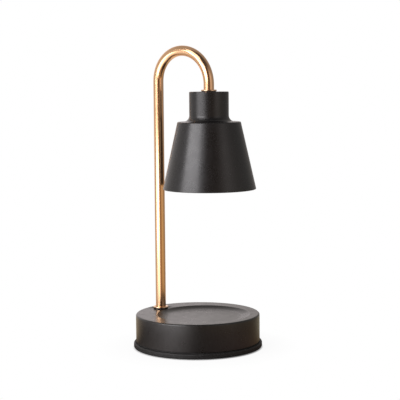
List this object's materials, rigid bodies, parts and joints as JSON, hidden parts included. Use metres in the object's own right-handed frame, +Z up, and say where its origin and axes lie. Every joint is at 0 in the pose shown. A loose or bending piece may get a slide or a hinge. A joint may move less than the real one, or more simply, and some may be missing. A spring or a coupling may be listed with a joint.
{
  "type": "candle warmer lamp",
  "caption": "Table lamp whose downward spun shade hangs from a bent tube over a round tray base, to melt a jar candle with its twist-lock reflector bulb.",
  "frame": {"origin": "centre of the base's footprint, on the surface that the lamp stands on", "axes": "+Z up; the tube stands at -X, the shade hangs toward +X, and XZ is the plane of symmetry"},
  "size_m": [0.125, 0.125, 0.292],
  "materials": {
    "drum_paint": "satin",
    "shade_paint": "satin",
    "foot_plastic": "matte",
    "pad_foam": "matte",
    "washer_black": "satin",
    "copper_plate": "polished",
    "cast_iron": "matte",
    "zinc_steel": "satin",
    "brass": "satin",
    "grommet_rubber": "matte",
    "terminal_plastic": "satin",
    "bush_nylon": "satin",
    "lead_brown": "satin",
    "lead_blue": "satin",
    "white_ceramic": "matte",
    "reflector_mirror": "polished",
    "clear_glass": "gloss"
  },
  "bodies": {
    "lamp": {"base_shell": "drum_paint", "shade": "shade_paint", "bottom_plate": "foot_plastic", "foot_pad": "pad_foam", "foot_washer": "washer_black", "shade_washer": "washer_black", "lamp_tube": "copper_plate", "foot_ferrule": "copper_plate", "shade_ferrule": "copper_plate", "ballast_weight": "cast_iron", "base_post_1": "zinc_steel", "base_post_2": "zinc_steel", "base_post_3": "zinc_steel", "bottom_screw_1": "zinc_steel", "bottom_screw_2": "zinc_steel", "bottom_screw_3": "zinc_steel", "ballast_screw_1": "zinc_steel", "ballast_screw_2": "zinc_steel", "ballast_screw_3": "zinc_steel", "terminal_screw_1": "zinc_steel", "terminal_screw_2": "zinc_steel", "terminal_screw_3": "zinc_steel", "terminal_screw_4": "zinc_steel", "terminal_fixing_screw": "zinc_steel", "tube_clamp_washer": "zinc_steel", "tube_lock_washer": "zinc_steel", "tube_nut": "zinc_steel", "shade_lock_washer": "zinc_steel", "shade_nut": "zinc_steel", "lampholder_strap": "zinc_steel", "lampholder_screw_1": "zinc_steel", "lampholder_screw_2": "zinc_steel", "terminal_insert_1": "brass", "terminal_insert_2": "brass", "lampholder_contact_1": "brass", "lampholder_contact_2": "brass", "cord_grommet": "grommet_rubber", "terminal_block": "terminal_plastic", "tube_bush_lower": "bush_nylon", "tube_bush_upper": "bush_nylon", "lead_live": "lead_brown", "lead_neutral": "lead_blue", "lampholder": "white_ceramic"},
    "bulb": {"bulb_base": "white_ceramic", "bulb_pin_1": "zinc_steel", "bulb_pin_2": "zinc_steel", "bulb_reflector": "reflector_mirror", "bulb_front_glass": "clear_glass", "bulb_capsule": "clear_glass"}
  },
  "joints": [
    {"name": "bulb_twist", "type": "hinge", "parent": "lamp", "child": "bulb", "pos_m": [0.0155, 0, 0.2195], "axis": [0, 0, 1], "range_deg": [-30, 0]}
  ]
}
